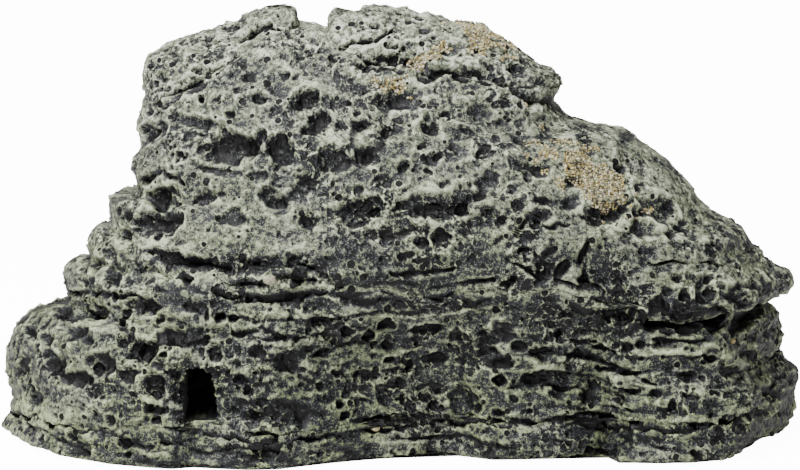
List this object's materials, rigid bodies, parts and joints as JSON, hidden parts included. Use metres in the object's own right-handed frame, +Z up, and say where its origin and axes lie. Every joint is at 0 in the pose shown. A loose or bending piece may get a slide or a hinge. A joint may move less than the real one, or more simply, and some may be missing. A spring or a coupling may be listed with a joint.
{
  "type": "resin cave ornament",
  "caption": "Hollow rockwork cave for an aquarium: strata base, pitted boulder and overhanging slabs cast in painted resin, with a rear entrance and gravel set in.",
  "frame": {"origin": "centre of the bounding box in plan, on the plane the plinth rests on", "axes": "+X along the width, towards the end with the overhanging ledge; -Y out of the front face; +Z up"},
  "size_m": [0.2502, 0.13, 0.1366],
  "materials": {
    "base_plinth": "stone-filled polyester resin casting, charcoal base coat, sage green dry-brushed on the high points",
    "lower_shell": "stone-filled polyester resin casting, charcoal base coat, sage green dry-brushed on the high points",
    "lower_left_lobe": "stone-filled polyester resin casting, charcoal base coat, sage green dry-brushed on the high points",
    "left_ledge": "stone-filled polyester resin casting, charcoal base coat, sage green dry-brushed on the high points",
    "left_shoulder": "stone-filled polyester resin casting, charcoal base coat, sage green dry-brushed on the high points",
    "upper_boulder": "stone-filled polyester resin casting, charcoal base coat, sage green dry-brushed on the high points",
    "right_ledge": "stone-filled polyester resin casting, charcoal base coat, sage green dry-brushed on the high points",
    "left_cap": "stone-filled polyester resin casting, charcoal base coat, sage green dry-brushed on the high points",
    "right_cap": "stone-filled polyester resin casting, charcoal base coat, sage green dry-brushed on the high points",
    "summit_gravel": "coarse natural sand bonded in clear adhesive",
    "middle_gravel": "coarse natural sand bonded in clear adhesive",
    "rust_gravel": "coarse natural sand bonded in clear adhesive",
    "crevice_gravel": "coarse natural sand bonded in clear adhesive",
    "slope_gravel": "coarse natural sand bonded in clear adhesive",
    "crevice_pebble": "small natural stone bonded in a socket",
    "cap_edge_pebble": "small natural stone bonded in a socket",
    "hollow_pebble": "small natural stone bonded in a socket",
    "ledge_pebble": "small natural stone bonded in a socket",
    "base_pebble": "small natural stone bonded in a socket"
  },
  "bodies": {
    "root": {"base_plinth": "base_plinth", "lower_shell": "lower_shell", "lower_left_lobe": "lower_left_lobe", "left_ledge": "left_ledge", "left_shoulder": "left_shoulder", "upper_boulder": "upper_boulder", "right_ledge": "right_ledge", "left_cap": "left_cap", "right_cap": "right_cap", "summit_gravel": "summit_gravel", "middle_gravel": "middle_gravel", "rust_gravel": "rust_gravel", "crevice_gravel": "crevice_gravel", "slope_gravel": "slope_gravel", "crevice_pebble": "crevice_pebble", "cap_edge_pebble": "cap_edge_pebble", "hollow_pebble": "hollow_pebble", "ledge_pebble": "ledge_pebble", "base_pebble": "base_pebble"}
  },
  "joints": []
}
